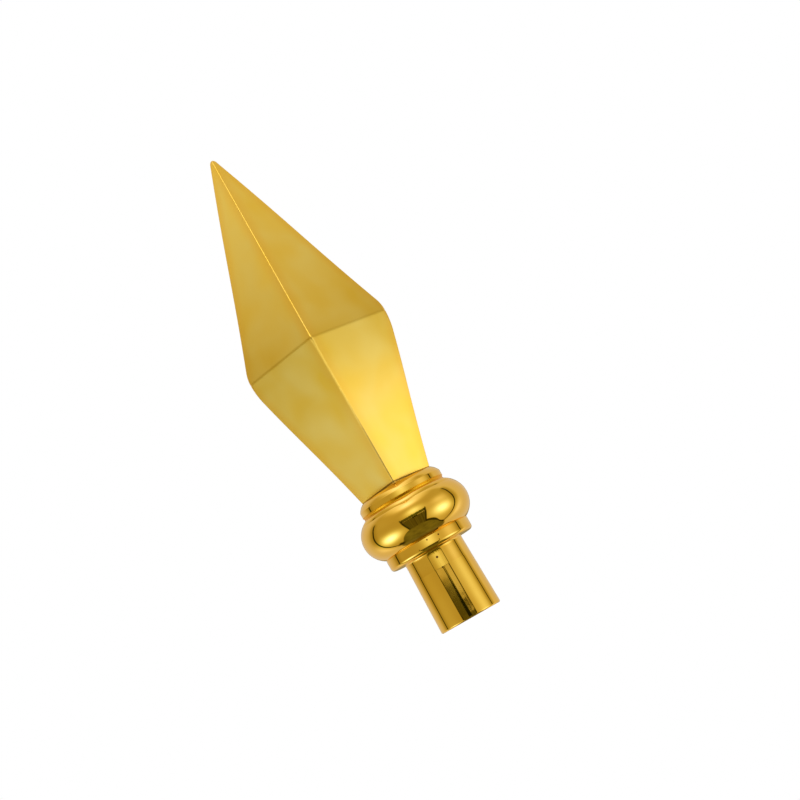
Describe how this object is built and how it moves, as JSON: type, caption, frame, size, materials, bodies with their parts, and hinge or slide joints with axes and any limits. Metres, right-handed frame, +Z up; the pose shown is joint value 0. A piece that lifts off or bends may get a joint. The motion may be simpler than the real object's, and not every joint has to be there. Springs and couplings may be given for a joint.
{
  "type": "flagpole finial",
  "caption": "Gold spear-shaped flagpole finial: a four-sided faceted blade on a turned ferrule with collars, a bulging ring and an open pole socket below.",
  "frame": {"origin": "centre of the ferrule's open end, on the surface that it stands on", "axes": "+Z up the finial's axis to the tip; the blade's ridges point along X and Y, and the pictured ridge faces -Y"},
  "size_m": [0.0848, 0.0872, 0.29],
  "materials": {
    "satin_gold": "satin gold plating, slightly clouded",
    "polished_gold": "mirror-bright gold plating"
  },
  "bodies": {
    "root": {"spear_blade": "satin_gold", "ferrule": "polished_gold"}
  },
  "joints": []
}
